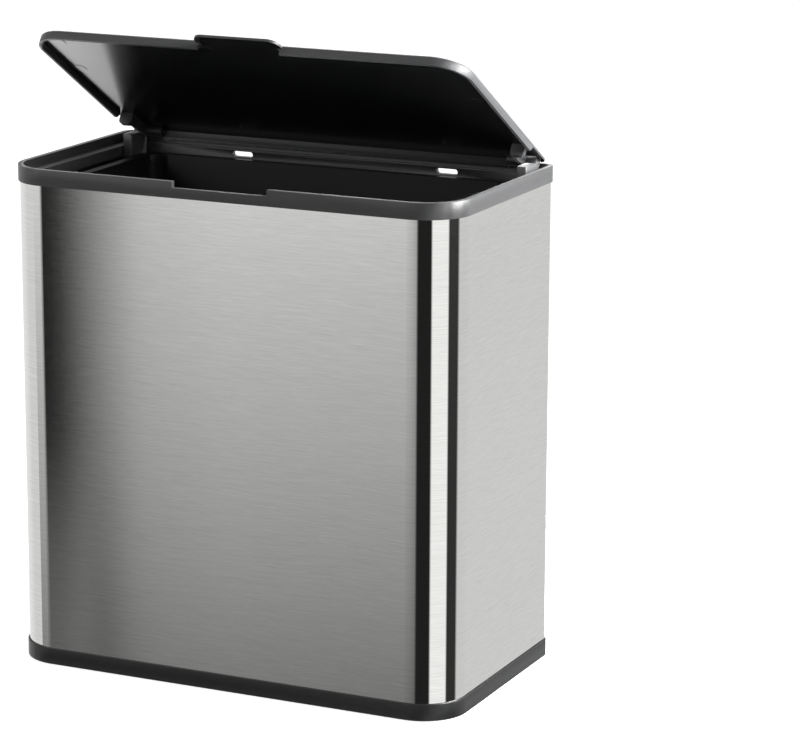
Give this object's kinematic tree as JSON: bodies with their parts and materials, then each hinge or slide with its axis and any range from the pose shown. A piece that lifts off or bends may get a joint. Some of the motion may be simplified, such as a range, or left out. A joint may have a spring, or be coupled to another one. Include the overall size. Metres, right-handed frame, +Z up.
{
  "type": "wall-mounted waste bin",
  "caption": "Shallow rectangular waste bin with a brushed steel sleeve, plastic collar and base, hinged lid with finger tab and lift-out bucket, slotted for wall screws.",
  "frame": {"origin": "middle of the underside, level with the rubber feet", "axes": "+Z up, +Y towards the wall behind the bin, +X to the right of someone facing the bin"},
  "size_m": [0.38, 0.2, 0.5056],
  "materials": {
    "brushed_steel": "brushed",
    "frame_plastic": "satin",
    "lid_plastic": "fine texture",
    "bucket_plastic": "matt",
    "panel_steel": "powder coat",
    "zinc_steel": "zinc plated",
    "damper_plastic": "gloss",
    "foot_rubber": "matt"
  },
  "bodies": {
    "bin": {"steel_sleeve": "brushed_steel", "back_panel": "panel_steel", "panel_rivets": "zinc_steel", "collar": "frame_plastic", "base": "frame_plastic", "collar_screws": "zinc_steel", "base_screws": "zinc_steel", "hinge_post_screws": "zinc_steel", "hinge_post_left": "frame_plastic", "hinge_post_right": "frame_plastic", "hinge_pin_left": "zinc_steel", "hinge_pin_right": "zinc_steel", "lid_buffer_left": "foot_rubber", "lid_buffer_right": "foot_rubber", "foot_front_left": "foot_rubber", "foot_front_right": "foot_rubber", "foot_rear_left": "foot_rubber", "foot_rear_right": "foot_rubber"},
    "lid": {"lid": "lid_plastic", "damper_left": "damper_plastic", "damper_right": "damper_plastic", "damper_cap_left": "frame_plastic", "damper_cap_right": "frame_plastic"},
    "bucket": {"bucket": "bucket_plastic"}
  },
  "joints": [
    {"name": "lid_hinge", "type": "hinge", "parent": "bin", "child": "lid", "pos_m": [0, 0.0913, 0.399], "axis": [-1, 0, 0], "range_deg": [-31.5, 50]},
    {"name": "bucket_lift", "type": "slide", "parent": "bin", "child": "bucket", "axis": [0, 0, 1], "range_m": [0, 0.009]}
  ]
}
